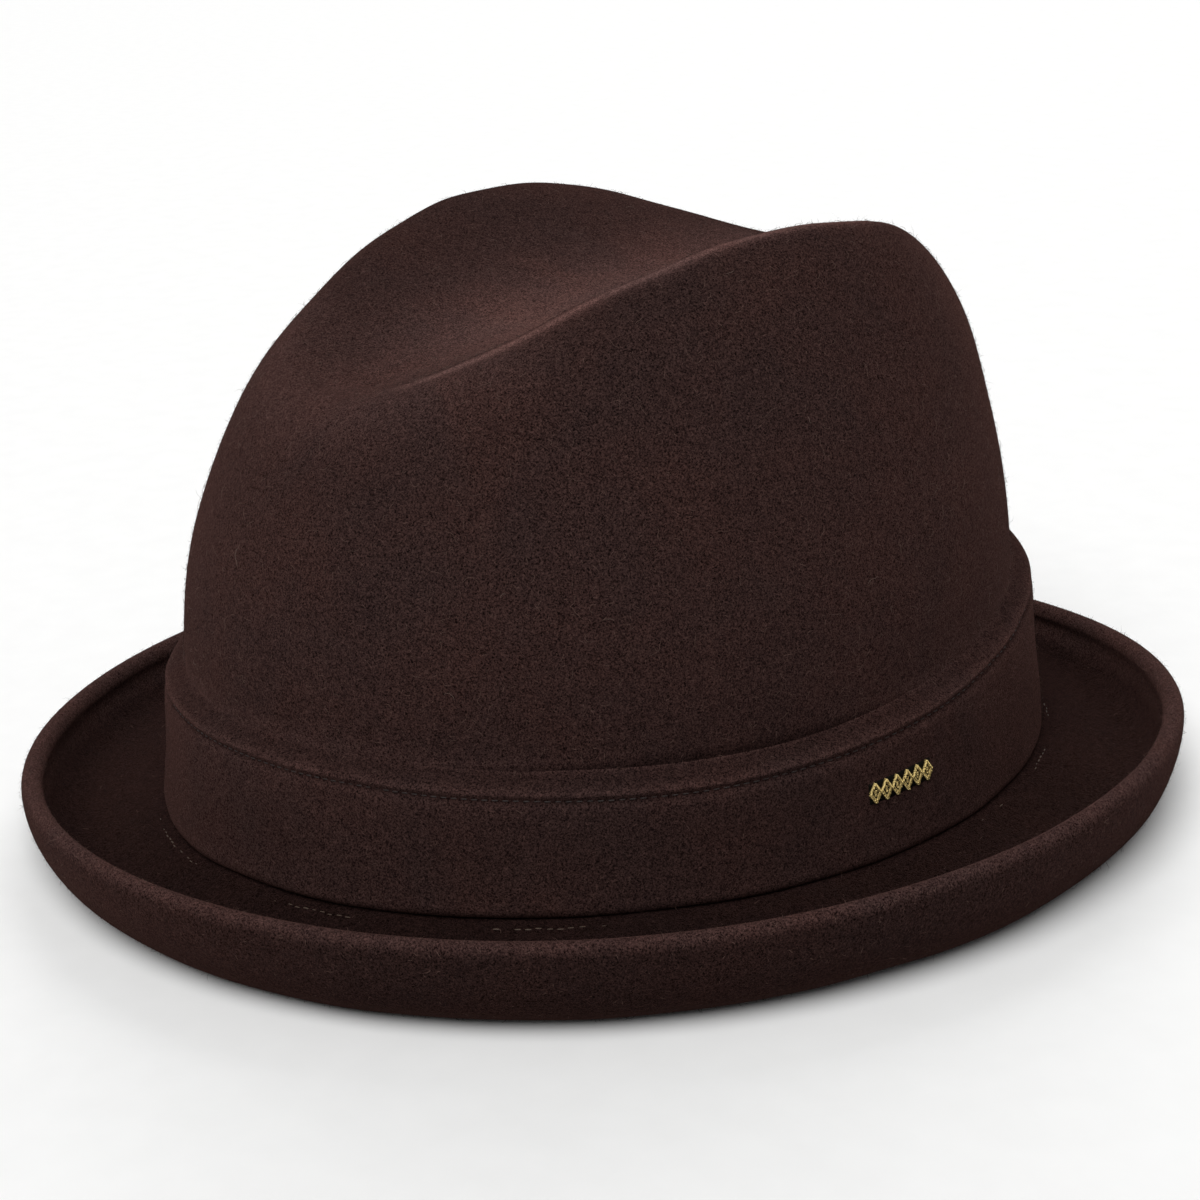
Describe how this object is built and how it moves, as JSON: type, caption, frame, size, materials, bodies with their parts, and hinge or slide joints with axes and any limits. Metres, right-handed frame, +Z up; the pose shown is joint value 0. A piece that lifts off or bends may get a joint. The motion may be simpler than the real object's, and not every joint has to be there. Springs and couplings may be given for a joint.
{
  "type": "felt trilby hat",
  "caption": "Soft wool felt trilby with a dented crown, a self-felt band, a brim rolled up all round and an inner sweatband.",
  "frame": {"origin": "middle of the hat's outline, on the plane that the brim rests on", "axes": "+Z up; +Y towards the back of the hat, so the front faces -Y; +X to the wearer's left"},
  "size_m": [0.2652, 0.275, 0.135],
  "materials": {
    "felt": "brushed wool felt",
    "band_felt": "brushed wool felt",
    "band_thread": "matt sewing thread",
    "emblem_thread": "lustrous embroidery thread",
    "sweatband_cloth": "ribbed cotton ribbon",
    "reed_plastic": "extruded cord",
    "seam_thread": "tan sewing thread",
    "label_cloth": "woven label satin"
  },
  "bodies": {
    "root": {"felt_body": "felt", "hat_band": "band_felt", "band_edge_thread": "band_thread", "band_join_thread": "band_thread", "side_emblem": "emblem_thread", "sweatband": "sweatband_cloth", "sweatband_reed": "reed_plastic", "seam_needle_thread": "seam_thread", "seam_bobbin_thread": "seam_thread", "sweatband_join_tape": "sweatband_cloth", "size_label": "label_cloth", "care_label": "label_cloth", "maker_label": "label_cloth"}
  },
  "joints": []
}
